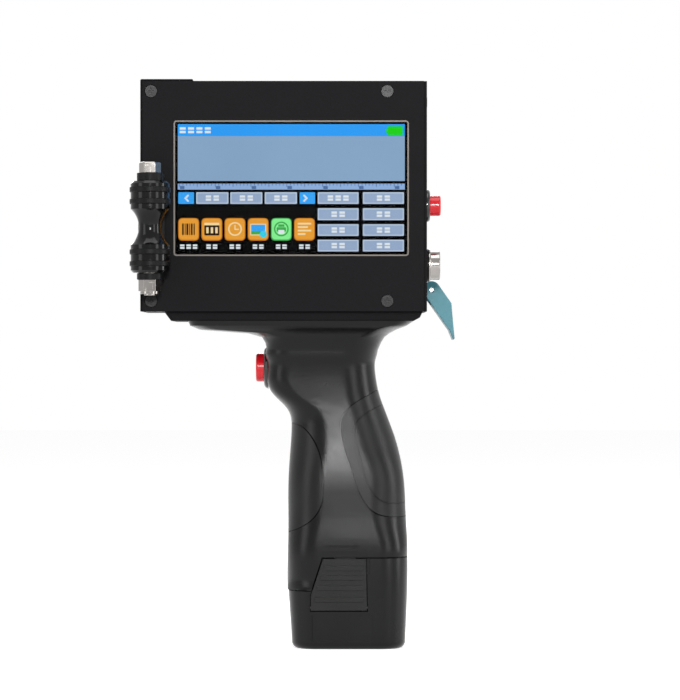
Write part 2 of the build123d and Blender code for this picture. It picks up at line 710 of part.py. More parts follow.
# Each pad's edge, seen from the side: a curve across the grip, then corners that lie outside the grip.
rear_pad_edge = [
    (14.5, 110.8), (6.0, 105.9), (0.4, 102.3), (-3.4, 97.6), (-4.0, 90.6), (0.4, 75.2), (4.6, 63.9),
    (10.4, 57.5), (23.8, 55.6), (30.0, 55.4),
]
rear_pad_corners = [(34.0, 55.4), (34.0, 110.8)]
front_pad_edge = [
    (-32.0, 96.3), (-24.7, 95.4), (-19.1, 93.2), (-14.9, 88.3), (-11.7, 80.7), (-10.5, 71.0),
    (-11.5, 60.5), (-15.2, 54.8), (-24.7, 49.4), (-32.0, 46.4),
]
front_pad_corners = [(-36.0, 46.4), (-36.0, 96.3)]

# The line of the groove inside the rear pad, about 5 mm in from the pad's edge.
groove_edge = [
    (16.5, 104.3), (9.8, 101.0), (5.0, 98.0), (1.6, 93.6), (2.2, 87.6), (5.2, 76.2), (9.0, 66.2),
    (13.2, 62.4), (23.8, 61.5), (30.0, 61.4),
]
groove_corners = [(34.0, 61.4), (34.0, 104.3)]


def moved_edge(points, shift):
    """The same edge, moved in x and z."""
    return [(x + shift[0], z + shift[1]) for x, z in points]


def pad_solid(edge, corners, seam=(0.0, 0.0)):
    """The outer layer of the grip inside an outline, moved off its neighbour by a seam in x and z."""
    edge = moved_edge(edge, seam)
    with BuildPart() as pad:
        with BuildSketch(Plane.XZ):
            with BuildLine():
                Spline(*edge)
                Polyline(edge[-1], *corners, edge[0])
            make_face()
        extrude(amount=60.0, both=True)
        add(grip_outer, mode=Mode.INTERSECT)
        add(grip_under_pads, mode=Mode.SUBTRACT)
    return pad


# The line where the handle's front wall reaches down over the battery case.
seam_foot = (-15.5, seam_low)
seam_head = (-10.9, seam_high)
handle_boss_places = ((0.0, 132.0), (3.0, 96.0), (-14.0, 92.0))
latch_slot_x = (-7.0, 4.0)

with BuildPart() as inner_walls:
    block((-32.0, 22.0), (-25.0, 25.0), (84.0, 86.5))
    for x, z in handle_boss_places[1:]:
        rod(along_y(x, z), 3.4, -25.0, 25.0)
    add(grip_solid(handle_wall - 1.0, handle_bottom), mode=Mode.INTERSECT)

# The far half of the handle, before its screw bores; the near half is its mirror image.
with BuildPart() as handle_shell:
    add(grip_outer)
    add(flange)
    add(grip_hollow, mode=Mode.SUBTRACT)
    add(inner_walls.part)
    block((-12.0, 10.0), (-9.0, 9.0), (83.0, 87.5), mode=Mode.SUBTRACT)
    add(slab_outline([
        (seam_foot[0] - seam_gap, seam_foot[1] - 6),
        (seam_foot[0] - seam_gap, seam_foot[1]),
        (seam_head[0] - seam_gap, seam_head[1] + seam_gap),
        (40.0, seam_head[1] + seam_gap),
        (40.0, seam_foot[1] - 6),
    ]), mode=Mode.SUBTRACT)
    for side in (-1, 1):
        block(latch_slot_x, sorted((side * 20.0, side * 23.2)), (seam_high - 1, 45.5), mode=Mode.SUBTRACT)
    for z in (41.4, 43.6):
        block((-9.4, 3.9), (23.8, 24.85), (z - 0.45, z + 0.45))
    rod(along_x(0, trigger_z), 7.1, trigger_x - 2, -20.0, mode=Mode.SUBTRACT)
    rod(along_x(0, trigger_z), 10.5, trigger_x - 3, trigger_x, mode=Mode.SUBTRACT)
    add(pad_solid(rear_pad_edge, rear_pad_corners).part, mode=Mode.SUBTRACT)
    add(pad_solid(front_pad_edge, front_pad_corners).part, mode=Mode.SUBTRACT)
    for x in (-60.0, 18.0):
        for y in (-18.0, 18.0):
            rod(along_z(x, y), 1.45, flange_top - 1.8, flange_top + 1, mode=Mode.SUBTRACT)
    split(bisect_by=Plane.XZ.offset(-0.02), keep=Keep.BOTTOM)

with BuildPart() as handle_near_half:
    add(handle_shell.part)
    mirror(about=Plane.XZ, mode=Mode.REPLACE)
    block((-19.0, -5.0), (-12.0, -4.0), (126.0, 140.0), mode=Mode.SUBTRACT)
    for x, z in handle_boss_places:
        rod(along_y(x, z), 1.5, -8.0, 0.0, mode=Mode.SUBTRACT)
save(handle_near_half, "handle_near_half")

with BuildPart() as handle_far_half:
    add(handle_shell.part)
    for x, z in handle_boss_places:
        rod(along_y(x, z), 1.5, 0.0, 60.0, mode=Mode.SUBTRACT)
        rod(along_y(x, z), 3.0, 12.0, 60.0, mode=Mode.SUBTRACT)
save(handle_far_half, "handle_far_half")

with BuildPart() as handle_screws:
    for x, z in handle_boss_places:
        screw(along_y(x, z), 14.4, -1, 2.6, 2.0, 1.4, 20.0)
save(handle_screws, "handle_screws")

grip_under_groove = grip_solid(groove_depth, handle_bottom)
with BuildPart() as pad_groove:
    with BuildSketch(Plane.XZ):
        with BuildLine():
            Spline(*groove_edge)
            Polyline(groove_edge[-1], *groove_corners, groove_edge[0])
        make_face()
    extrude(amount=60.0, both=True)
    inner_edge = moved_edge(groove_edge, groove_shift)
    with BuildSketch(Plane.XZ):
        with BuildLine():
            Spline(*inner_edge)
            Polyline(inner_edge[-1], (40.0, inner_edge[-1][1]), (40.0, inner_edge[0][1]), inner_edge[0])
        make_face()
    extrude(amount=60.0, both=True, mode=Mode.SUBTRACT)
    add(grip_under_groove, mode=Mode.SUBTRACT)

with BuildPart() as rear_grip_pad:
    add(pad_solid(rear_pad_edge, rear_pad_corners, rear_pad_seam).part)
    add(pad_groove.part, mode=Mode.SUBTRACT)
save(rear_grip_pad, "rear_grip_pad")

front_grip_pad = pad_solid(front_pad_edge, front_pad_corners, front_pad_seam)
save(front_grip_pad, "front_grip_pad")

# ================================================================ trigger
trigger_axis = along_x(0, trigger_z)
trigger_cap_radius = 6.05
with BuildPart() as trigger_body:
    rod(trigger_axis, 9.0, trigger_x - 1.9, trigger_x)
    fillet(trigger_body.edges().filter_by(GeomType.CIRCLE).sort_by(Axis.X)[0], 1.85)
    rod(trigger_axis, 6.9, trigger_x, -18.0)
    rod(trigger_axis, 6.0, -18.0, -12.0)
    rod(trigger_axis, trigger_cap_radius + 0.1, trigger_x - 3, -24.0, mode=Mode.SUBTRACT)
save(trigger_body, "trigger_body")

with BuildPart() as trigger_nut:
    hexagon(trigger_axis, 17.5, -30.8, -28.0)
    rod(trigger_axis, 6.95, -32.0, -26.0, mode=Mode.SUBTRACT)
save(trigger_nut, "trigger_nut")

with BuildPart() as trigger_cap:
    rod(trigger_axis, trigger_cap_radius, -39.6, -27.0)
    fillet(trigger_cap.edges().filter_by(GeomType.CIRCLE).sort_by(Axis.X)[0], 0.8)
save(trigger_cap, "trigger_cap")

# ================================================================ battery
blade_places = ((-8.0, 0.0), (-0.9, 0.0), (6.2, 0.0))

with BuildPart() as battery_terminal_block:
    block((-13.0, 11.0), (-8.0, 8.0), (74.0, 83.9))
    for x, y in blade_places:
        block((x - 0.9, x + 0.9), (y - 3.2, y + 3.2), (73.0, 80.0), mode=Mode.SUBTRACT)
    block((-11.0, 9.0), (-6.0, 6.0), (81.0, 85.0), mode=Mode.SUBTRACT)
    for side in (-1, 1):
        block((-13.0, 11.0), sorted((side * 8.0, side * 12.0)), (82.0, 83.9))
save(battery_terminal_block, "battery_terminal_block")

# Each level of the case: z, front x, rear x, half width, corner radius.
case_levels = [
    (0.0, -24.0, 23.6, 23.4, 10.5),
    (14.5, -24.9, 24.3, 24.0, 11.5),
    (25.0, -25.6, 24.7, 24.4, 12.0),
    (seam_high, -25.9, 24.8, 24.5, 12.5),
]


def case_solid(inset, bottom, top):
    """The battery case as one closed solid between two heights, drawn in by inset."""
    levels = [(bottom, *case_levels[0][1:])] + case_levels[1:-1] + [(top, *case_levels[-1][1:])]
    with BuildPart() as case:
        for z, front, rear, half_width, radius in levels:
            with BuildSketch(Plane.XY.offset(z)):
                with Locations(((front + rear) / 2, 0)):
                    RectangleRounded(rear - front - 2 * inset, 2 * (half_width - inset), radius - inset)
        loft()
    return case.part


def latch_outline(side, grow, start, depth):
    """A slab with the latch pad's outline, grown all round, from one depth to another on one side."""
    plane = Plane(origin=(0, side * start, 0), x_dir=(1, 0, 0), z_dir=(0, -1, 0))
    with BuildPart() as slab:
        with BuildSketch(plane):
            with BuildLine():
                Polyline(
                    (-16.0 - grow, 16.5 - grow), (7.5 + grow, 16.5 - grow),
                    (7.1 + grow, seam_high - 0.2 + grow), (-10.85 - grow, seam_high - 0.2 + grow),
                    (-16.0 - grow, 22.9), close=True,
                )
            make_face()
        extrude(amount=-side * (depth - start))
    return slab.part


case_wall = 2.0
case_screw_places = [(x, y) for x in (-17.5, 17.0) for y in (-16.0, 16.0)]
with BuildPart() as case_hollow:
    add(case_solid(case_wall, case_wall + 0.3, seam_high - case_wall))
    add(slab_outline([
        (-40.0, seam_low - case_wall), (seam_foot[0] + case_wall, seam_low - case_wall),
        (seam_head[0] + case_wall, 50.0), (-40.0, 50.0),
    ]), mode=Mode.SUBTRACT)
    for side in (-1, 1):
        add(latch_outline(side, 1.8, 17.6, 30.0), mode=Mode.SUBTRACT)



def label_recess(side):
    """The shallow rectangle below a latch, cut to the same depth along the leaning wall."""
    with BuildPart() as recess:
        block((-15.6, 10.1), sorted((side * 20.0, side * 30.0)), (3.6, 14.6))
        add(case_solid(0.35, -5.0, seam_high), mode=Mode.SUBTRACT)
    return recess.part


with BuildPart() as battery_case:
    add(case_solid(0.0, 0.0, seam_high))
    fillet(battery_case.edges().group_by(Axis.Z)[0], 3.0)
    add(slab_outline([
        (-40.0, seam_low), seam_foot, seam_head, (seam_head[0], 50.0), (-40.0, 50.0),
    ]), mode=Mode.SUBTRACT)
    add(case_hollow.part, mode=Mode.SUBTRACT)
    with BuildSketch(Plane.XY.offset(case_wall)):
        with Locations((tower_x, 0)):
            RectangleRounded(*tower_size, tower_radius)
    extrude(amount=tower_top - case_wall)
    chamfer(battery_case.faces().sort_by(Axis.Z)[-1].edges(), 1.2)
    with BuildSketch(Plane.XY.offset(case_wall + 0.5)):
        with Locations((tower_x, 0)):
            RectangleRounded(tower_size[0] - 2 * tower_wall, tower_size[1] - 2 * tower_wall,
                             tower_radius - tower_wall + 0.3)
    extrude(amount=tower_top - tower_wall - case_wall - 0.5, mode=Mode.SUBTRACT)
    for side in (-1, 1):
        add(latch_outline(side, 0.45, 19.2, 30.0), mode=Mode.SUBTRACT)
        block((-7.5, 4.5), sorted((side * 19.2, side * 30.0)), (30.0, 45.0), mode=Mode.SUBTRACT)
        rod(along_x(side * latch_pivot_y, latch_pivot_z), 1.1, -16.9, 8.4, mode=Mode.SUBTRACT)
    for x, y in blade_places:
        block((x - 0.8, x + 0.8), (y - 3.1, y + 3.1), (tower_top - 3, tower_top + 1), mode=Mode.SUBTRACT)
    for x, y in case_screw_places:
        rod(along_z(x, y), 2.2, -1.0, 1.6, mode=Mode.SUBTRACT)
        rod(along_z(x, y), 1.05, 0.0, 4.0, mode=Mode.SUBTRACT)
    for side in (-1, 1):
        block((7.4, 8.8), sorted((side * 22.3, side * 30.0)), (31.9, 45.0), mode=Mode.SUBTRACT)
        add(label_recess(side), mode=Mode.SUBTRACT)
save(battery_case, "battery_case")

cell_rows = [(-cell_pitch / 2, -8.05), (cell_pitch / 2, -8.05), (0.0, 8.05)]
with BuildPart() as battery_cells:
    for x, y in cell_rows:
        rod(along_z(tower_x + x, y), cell_radius, 3.0, 3.0 + cell_length)
save(battery_cells, "battery_cells")

with BuildPart() as battery_board:
    block((tower_x - 12, tower_x + 12), (-10.0, 10.0), (68.2, 69.4))
    for x, y in blade_places:
        block((x - 0.4, x + 0.4), (y - 2.6, y + 2.6), (69.4, 78.0))
save(battery_board, "battery_board")


def battery_latch(side):
    """A press pad hinged at its foot, with four grip ribs and a hook tab that reaches into the handle."""
    rib_levels = (21.1, 26.0, 30.3, 34.3)
    with BuildPart() as latch:
        add(latch_outline(side, 0.0, 22.5, 24.1))
        for z in rib_levels:
            lean = max(0.0, z - 22.9) * 0.34
            block((-14.4 + lean, 5.9), sorted((side * 24.0, side * 25.1)), (z - 0.95, z + 0.95))
        block((-6.0, 3.0), sorted((side * 21.0, side * 22.6)), (33.0, 43.0))
        rod(along_x(side * latch_pivot_y, latch_pivot_z), 1.0, -16.6, 8.1)
    return latch


near_battery_latch = battery_latch(-1)
save(near_battery_latch, "near_battery_latch")

far_battery_latch = battery_latch(1)
save(far_battery_latch, "far_battery_latch")

with BuildPart() as battery_case_screws:
    for x, y in case_screw_places:
        screw(along_z(x, y), 0.6, 1, 2.0, 1.0, 1.0, 1.6)
save(battery_case_screws, "battery_case_screws")
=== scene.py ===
# %% [markdown]
# # A handheld date code inkjet printer
# The printer is a box head with a touch screen, a pair of guide rollers, an ink bay and a pistol grip that
# ends in a slide-in battery.  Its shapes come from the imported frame.  This lesson gives them finishes, rounds
# their sharp edges, draws the display, and sets up the room they stand in.

# %% Load the frame
import json
import math

import bpy
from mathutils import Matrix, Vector

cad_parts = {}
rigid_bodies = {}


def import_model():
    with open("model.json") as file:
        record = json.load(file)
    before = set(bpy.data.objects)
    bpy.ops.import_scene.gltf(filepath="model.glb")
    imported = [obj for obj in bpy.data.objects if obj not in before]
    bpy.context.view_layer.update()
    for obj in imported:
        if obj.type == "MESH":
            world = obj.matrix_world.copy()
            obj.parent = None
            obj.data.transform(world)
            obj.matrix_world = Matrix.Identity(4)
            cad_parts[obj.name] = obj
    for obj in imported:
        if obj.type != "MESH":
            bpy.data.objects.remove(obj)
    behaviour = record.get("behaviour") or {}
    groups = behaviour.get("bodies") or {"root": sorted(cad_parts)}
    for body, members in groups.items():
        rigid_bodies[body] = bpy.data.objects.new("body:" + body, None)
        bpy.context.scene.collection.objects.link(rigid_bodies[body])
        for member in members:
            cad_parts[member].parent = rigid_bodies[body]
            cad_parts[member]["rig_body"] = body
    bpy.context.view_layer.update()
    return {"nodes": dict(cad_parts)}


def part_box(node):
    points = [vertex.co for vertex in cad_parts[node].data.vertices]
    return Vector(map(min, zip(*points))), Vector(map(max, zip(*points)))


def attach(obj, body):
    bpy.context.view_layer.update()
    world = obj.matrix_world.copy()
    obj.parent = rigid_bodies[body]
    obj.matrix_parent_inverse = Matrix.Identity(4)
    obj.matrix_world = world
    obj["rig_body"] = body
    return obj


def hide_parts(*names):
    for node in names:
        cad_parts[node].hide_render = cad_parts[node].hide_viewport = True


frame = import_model()
BODY = "printer_frame"
MM = 0.001
print("nodes:", len(frame["nodes"]))


# %% [markdown]
# Operators act on whatever is selected, so every step starts from an empty selection.  A finished piece has
#  its place applied into its mesh, one material and a body to ride on.

# %% Small helpers
def deselect():
    """Leave nothing selected."""
    bpy.ops.object.select_all(action="DESELECT")


def only(piece):
    """Select one piece and make it the active one."""
    deselect()
    piece.select_set(True)
    bpy.context.view_layer.objects.active = piece


def settle(piece, name, material, body):
    """Apply a piece's place, name it, finish it and put it on its body."""
    only(piece)
    bpy.ops.object.transform_apply(location=True, rotation=True, scale=True)
    piece.name = name
    piece.data.name = name
    piece.data.materials.clear()
    piece.data.materials.append(material)
    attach(piece, body)
    return piece


def joined(pieces):
    """Join several pieces into the first one."""
    deselect()
    for piece in pieces:
        piece.select_set(True)
    bpy.context.view_layer.objects.active = pieces[0]
    if len(pieces) > 1:
        bpy.ops.object.join()
    return pieces[0]


def apply_modifiers(piece):
    """Apply all of a piece's modifiers, in order."""
    only(piece)
    for modifier in list(piece.modifiers):
        bpy.ops.object.modifier_apply(modifier=modifier.name)


def low(node):
    """Lowest corner of a node's box."""
    return Vector(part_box(node)[0])


def high(node):
    """Highest corner of a node's box."""
    return Vector(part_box(node)[1])


def linear(red, green, blue):
    """A colour written as 0 to 255 display values, as the linear values that a shader wants."""
    def channel(value):
        value /= 255.0
        return value / 12.92 if value <= 0.04045 else ((value + 0.055) / 1.055) ** 2.4
    return (channel(red), channel(green), channel(blue), 1.0)


print("helpers ready")


# %% [markdown]
# Moulded plastic, powder coat and rubber all carry a fine grain.  One node group makes it: a noise field at a
# named size gives the height for a Bump node, and a slower, larger noise gives a mask that lets the colour
# and the roughness drift a little, as they do on a real moulding.

# %% Fine grain group
def build_grain_group():
    """Noise grain: Height for a bump, Drift for slow changes of tone, Speck for rare light specks."""
    group = bpy.data.node_groups.new("fine_grain", "ShaderNodeTree")
    for name, default in (("Grain Size", 2500.0), ("Drift Size", 60.0)):
        socket = group.interface.new_socket(name=name, in_out="INPUT", socket_type="NodeSocketFloat")
        socket.default_value = default
    for name in ("Height", "Drift", "Speck"):
        group.interface.new_socket(name=name, in_out="OUTPUT", socket_type="NodeSocketFloat")
    nodes, links = group.nodes, group.links
    inputs = nodes.new("NodeGroupInput")
    outputs = nodes.new("NodeGroupOutput")
    place = nodes.new("ShaderNodeTexCoord")
    fine = nodes.new("ShaderNodeTexNoise")
    fine.inputs["Detail"].default_value = 3.0
    fine.inputs["Roughness"].default_value = 0.6
    slow = nodes.new("ShaderNodeTexNoise")
    slow.inputs["Detail"].default_value = 4.0
    speck = nodes.new("ShaderNodeMapRange")
    speck.inputs["From Min"].default_value = 0.66
    speck.inputs["From Max"].default_value = 0.74
    links.new(place.outputs["Object"], fine.inputs["Vector"])
    links.new(place.outputs["Object"], slow.inputs["Vector"])
    links.new(inputs.outputs["Grain Size"], fine.inputs["Scale"])
    links.new(inputs.outputs["Drift Size"], slow.inputs["Scale"])
    links.new(fine.outputs["Fac"], speck.inputs["Value"])
    links.new(fine.outputs["Fac"], outputs.inputs["Height"])
    links.new(slow.outputs["Fac"], outputs.inputs["Drift"])
    links.new(speck.outputs["Result"], outputs.inputs["Speck"])
    return group


fine_grain = build_grain_group()
print("group outputs:", [socket.name for socket in fine_grain.interface.items_tree])


# %% [markdown]
# Polished and plated parts show hair-fine handling scratches instead of grain.  The second group stretches a
# noise along one axis, keeps only its thin crests, and gives them as a mask that raises the roughness there.

# %% Fine scratches group
def build_scratch_group():
    """Thin crossing scratches as a mask, and a soft smear mask for finger marks."""
    group = bpy.data.node_groups.new("handling_marks", "ShaderNodeTree")
    socket = group.interface.new_socket(name="Scratch Size", in_out="INPUT", socket_type="NodeSocketFloat")
    socket.default_value = 120.0
    for name in ("Scratches", "Smears"):
        group.interface.new_socket(name=name, in_out="OUTPUT", socket_type="NodeSocketFloat")
    nodes, links = group.nodes, group.links
    inputs = nodes.new("NodeGroupInput")
    outputs = nodes.new("NodeGroupOutput")
    place = nodes.new("ShaderNodeTexCoord")
    masks = []
    for turn, stretch in ((0.6, (14.0, 1.0, 1.0)), (-0.9, (1.0, 1.0, 18.0))):
        mapping = nodes.new("ShaderNodeMapping")
        mapping.inputs["Rotation"].default_value = (turn, turn * 0.5, turn)
        mapping.inputs["Scale"].default_value = stretch
        noise = nodes.new("ShaderNodeTexNoise")
        noise.inputs["Detail"].default_value = 2.0
        crest = nodes.new("ShaderNodeMapRange")
        crest.inputs["From Min"].default_value = 0.62
        crest.inputs["From Max"].default_value = 0.68
        links.new(place.outputs["Object"], mapping.inputs["Vector"])
        links.new(mapping.outputs["Vector"], noise.inputs["Vector"])
        links.new(inputs.outputs["Scratch Size"], noise.inputs["Scale"])
        links.new(noise.outputs["Fac"], crest.inputs["Value"])
        masks.append(crest)
    both = nodes.new("ShaderNodeMath")
    both.operation = "MAXIMUM"
    links.new(masks[0].outputs["Result"], both.inputs[0])
    links.new(masks[1].outputs["Result"], both.inputs[1])
    smear = nodes.new("ShaderNodeTexNoise")
    smear.inputs["Scale"].default_value = 45.0
    smear.inputs["Detail"].default_value = 3.0
    links.new(place.outputs["Object"], smear.inputs["Vector"])
    links.new(both.outputs["Value"], outputs.inputs["Scratches"])
    links.new(smear.outputs["Fac"], outputs.inputs["Smears"])
    return group


handling_marks = build_scratch_group()
print("scratch group nodes:", len(handling_marks.nodes))


# %% [markdown]
# Two makers of materials cover most of the printer.  A grained finish takes its bump and its drift of tone
# from the first group.  A polished finish takes scratches and smears from the second.  The Principled shader
# stays in each material, and what is the same all over is set on its own sockets.

# %% Grained finishes
def base_material(name):
    """A new node material and its Principled shader."""
    material = bpy.data.materials.new(name)
    material.use_nodes = True
    return material, material.node_tree.nodes["Principled BSDF"]


def mix_colours(tree, mask, first, second):
    """A Mix node that goes from one colour to another by a mask."""
    mix = tree.nodes.new("ShaderNodeMix")
    mix.data_type = "RGBA"
    mix.inputs["A"].default_value = first
    mix.inputs["B"].default_value = second
    tree.links.new(mask, mix.inputs["Factor"])
    return mix.outputs["Result"]


def spread(tree, mask, start, end, lower=0.3, upper=0.7):
    """A Map Range node that turns a mask into a value between start and end."""
    node = tree.nodes.new("ShaderNodeMapRange")
    node.inputs["From Min"].default_value = lower
    node.inputs["From Max"].default_value = upper
    node.inputs["To Min"].default_value = start
    node.inputs["To Max"].default_value = end
    tree.links.new(mask, node.inputs["Value"])
    return node.outputs["Result"]


DRIFT_SIZE = 60.0
GRAIN_DEPTH = 0.1 * MM


def grained(name, dark, light, roughness, grain, bump, specular=0.5, speck=None):
    """A matte or satin finish with a fine grain."""
    material, shader = base_material(name)
    tree = material.node_tree
    group = tree.nodes.new("ShaderNodeGroup")
    group.node_tree = fine_grain
    group.inputs["Grain Size"].default_value = grain
    group.inputs["Drift Size"].default_value = DRIFT_SIZE
    colour = mix_colours(tree, spread(tree, group.outputs["Drift"], 0.0, 1.0), dark, light)
    if speck:
        over = tree.nodes.new("ShaderNodeMix")
        over.data_type = "RGBA"
        over.inputs["B"].default_value = speck
        tree.links.new(colour, over.inputs["A"])
        tree.links.new(group.outputs["Speck"], over.inputs["Factor"])
        colour = over.outputs["Result"]
    tree.links.new(colour, shader.inputs["Base Color"])
    tree.links.new(spread(tree, group.outputs["Drift"], *roughness), shader.inputs["Roughness"])
    shader.inputs["Specular IOR Level"].default_value = specular
    node = tree.nodes.new("ShaderNodeBump")
    node.inputs["Strength"].default_value = bump
    node.inputs["Distance"].default_value = GRAIN_DEPTH
    tree.links.new(group.outputs["Height"], node.inputs["Height"])
    tree.links.new(node.outputs["Normal"], shader.inputs["Normal"])
    return material


panel_coat = grained("panel_coat", linear(12, 11, 13), linear(17, 16, 18), roughness=(0.5, 0.6),
                     grain=3200.0, bump=0.5, specular=0.07, speck=linear(44, 42, 46))
handle_moulding = grained("handle_moulding", linear(2, 2, 2), linear(5, 5, 5), roughness=(0.21, 0.28),
                          grain=2600.0, bump=0.35, specular=0.2)
grip_skin = grained("grip_skin", linear(14, 14, 14), linear(21, 21, 21), roughness=(0.27, 0.35),
                    grain=2200.0, bump=0.5, specular=0.2, speck=linear(40, 40, 41))
satin_black = grained("satin_black", linear(8, 8, 9), linear(14, 14, 15), roughness=(0.4, 0.5),
                      grain=3000.0, bump=0.3, specular=0.12)
ring_rubber = grained("ring_rubber", linear(6, 6, 6), linear(10, 10, 10), roughness=(0.35, 0.45),
                      grain=2600.0, bump=0.4, specular=0.12)
board_mask = grained("board_mask", linear(14, 82, 46), linear(20, 96, 54), roughness=(0.32, 0.42),
                     grain=900.0, bump=0.2)
chip_moulding = grained("chip_moulding", linear(26, 26, 28), linear(34, 34, 36), roughness=(0.5, 0.6),
                        grain=4200.0, bump=0.5)
cartridge_shell = grained("cartridge_shell", linear(34, 35, 38), linear(44, 45, 48),
                          roughness=(0.38, 0.48), grain=2200.0, bump=0.35)
teal_lever = grained("teal_lever", linear(52, 112, 124), linear(68, 130, 142), roughness=(0.3, 0.4),
                     grain=2600.0, bump=0.3, specular=0.35)
# The window gasket's light brown colour is a painted highlight: it stands for light catching the rim of the
# window's cut-out.
painted_window_rim_highlight = grained("painted_window_rim_highlight", linear(86, 78, 70), linear(104, 94, 84), roughness=(0.35, 0.45),
                      grain=3000.0, bump=0.2)
cell_sleeve = grained("cell_sleeve", linear(30, 92, 150), linear(38, 104, 164), roughness=(0.3, 0.4),
                      grain=800.0, bump=0.15)
black_screw = grained("black_screw", linear(5, 5, 6), linear(10, 10, 11), roughness=(0.25, 0.35),
                      grain=3000.0, bump=0.25, specular=0.2)
print("grained finishes:", len(bpy.data.materials))


# %% [markdown]
# Gloss mouldings, chrome, zinc and turned brass are smooth, so what the eye sees is the room in them.  They
# differ in colour and roughness only, and light scratches break up the mirror.

# %% Polished and plated finishes
SCRATCH_SIZE = 120.0
SCRATCH_ROUGHNESS = 0.12


def polished(name, dark, light, roughness, metallic=0.0, coat=0.0, specular=0.5):
    """A polished, plated or turned finish with light handling marks."""
    material, shader = base_material(name)
    tree = material.node_tree
    group = tree.nodes.new("ShaderNodeGroup")
    group.node_tree = handling_marks
    group.inputs["Scratch Size"].default_value = SCRATCH_SIZE
    smears = spread(tree, group.outputs["Smears"], 0.0, 1.0)
    tree.links.new(mix_colours(tree, smears, dark, light), shader.inputs["Base Color"])
    smooth = spread(tree, group.outputs["Smears"], *roughness)
    worn = tree.nodes.new("ShaderNodeMath")
    worn.operation = "MULTIPLY_ADD"
    worn.inputs[1].default_value = SCRATCH_ROUGHNESS
    tree.links.new(group.outputs["Scratches"], worn.inputs[0])
    tree.links.new(smooth, worn.inputs[2])
    tree.links.new(worn.outputs["Value"], shader.inputs["Roughness"])
    shader.inputs["Metallic"].default_value = metallic
    shader.inputs["Coat Weight"].default_value = coat
    shader.inputs["Specular IOR Level"].default_value = specular
    return material


roller_gloss = polished("roller_gloss", linear(3, 3, 3), linear(5, 5, 5), (0.08, 0.14), specular=0.2)
button_gloss = polished("button_gloss", linear(12, 12, 13), linear(17, 17, 18), (0.08, 0.16))
button_red = polished("button_red", linear(204, 16, 30), linear(220, 26, 40), (0.16, 0.26), coat=0.1,
                      specular=0.3)
plated_chrome = polished("plated_chrome", linear(134, 130, 127), linear(160, 156, 152), (0.08, 0.16),
                         metallic=1.0)
zinc_steel = polished("zinc_steel", linear(172, 172, 172), linear(192, 190, 186), (0.26, 0.36),
                      metallic=1.0)
turned_brass = polished("turned_brass", linear(196, 160, 92), linear(212, 178, 108), (0.2, 0.3),
                        metallic=1.0)
milled_sheet = polished("milled_sheet", linear(180, 181, 184), linear(196, 197, 199), (0.3, 0.42),
                        metallic=1.0)
display_black = polished("display_black", linear(2, 2, 3), linear(4, 4, 5), (0.3, 0.4), specular=0.0)
print("materials so far:", len(bpy.data.materials))


# %% [markdown]
# The touch glass is a cut sheet of clear glass with an anti-reflection coat.  A low refractive index stands
# for that coat: with the index of plain glass the pale room would wash out the black border of the panel.

# %% Clear touch glass
GLASS_INDEX = 1.12
GLASS_SCRATCH_SIZE = 60.0


def clear_glass():
    """A thin clear sheet with an anti-reflection coat, so its surface mirrors only faintly."""
    material, shader = base_material("touch_glass_clear")
    tree = material.node_tree
    shader.inputs["Base Color"].default_value = linear(240, 244, 246)
    shader.inputs["Transmission Weight"].default_value = 1.0
    shader.inputs["IOR"].default_value = GLASS_INDEX
    shader.inputs["Specular IOR Level"].default_value = 0.03
    group = tree.nodes.new("ShaderNodeGroup")
    group.node_tree = handling_marks
    group.inputs["Scratch Size"].default_value = GLASS_SCRATCH_SIZE
    tree.links.new(spread(tree, group.outputs["Smears"], 0.0, 0.03), shader.inputs["Roughness"])
    return material


touch_glass_clear = clear_glass()
print("glass ready")


# %% [markdown]
# Each node of the frame takes one finish.  The table is written by finish, so that pieces which would come
# from one mould or one plating bath share a material.

# %% Give every frame node its finish
finishes = {
    panel_coat: ("main_housing", "screen_side_cover", "far_side_cover", "front_nozzle_plate", "rear_plate",
                 "base_plate"),
    milled_sheet: ("chassis_plate",),
    black_screw: ("cover_screws", "rear_plate_screws", "bracket_screws", "handle_screws",
                  "battery_case_screws"),
    painted_window_rim_highlight: ("window_gasket",),
    touch_glass_clear: ("touch_glass",),
    display_black: ("lcd_module",),
    board_mask: ("main_board", "encoder_sensor_board", "battery_board"),
    chip_moulding: ("board_components", "encoder_magnet_ring", "battery_terminal_block"),
    turned_brass: ("board_standoffs", "near_roller_bushings", "far_roller_bushings",
                   "cartridge_nozzle_strip"),
    zinc_steel: ("board_screws", "power_button_nut", "connector_nut", "usb_socket", "latch_pin",
                 "base_plate_screws", "trigger_nut"),
    button_gloss: ("power_button_body", "trigger_body"),
    button_red: ("power_button_cap", "trigger_cap"),
    plated_chrome: ("connector_shell", "roller_bolts", "roller_lock_nuts"),
    satin_black: ("connector_insert", "cartridge_cradle", "contact_block", "cartridge_carrier",
                  "near_roller_bracket", "far_roller_bracket"),
    ring_rubber: ("connector_gasket", "near_roller_rings", "far_roller_rings"),
    cartridge_shell: ("cartridge_body",),
    teal_lever: ("latch_lever",),
    roller_gloss: ("near_roller", "far_roller"),
    handle_moulding: ("handle_near_half", "handle_far_half", "battery_case"),
    grip_skin: ("rear_grip_pad", "front_grip_pad", "near_battery_latch", "far_battery_latch"),
    cell_sleeve: ("battery_cells",),
}
for material, names in finishes.items():
    for name in names:
        for slot in frame["nodes"][name].material_slots:
            slot.material = material
finish_of = {name: material for material, names in finishes.items() for name in names}
print("nodes without a finish:", sorted(set(frame["nodes"]) - set(finish_of)))


# %% [markdown]
# Pressed sheet and moulded parts never have knife edges: paint rounds them and the tool has a radius.  These
# nodes are replaced by copies of their own shape with every sharp edge bevelled by a few tenths of a
# millimetre.  The copy's doubled points are merged and its flat faces dissolved first, so that the bevel
# follows whole edges, and the bevel's normals are hardened so that flat faces stay flat.

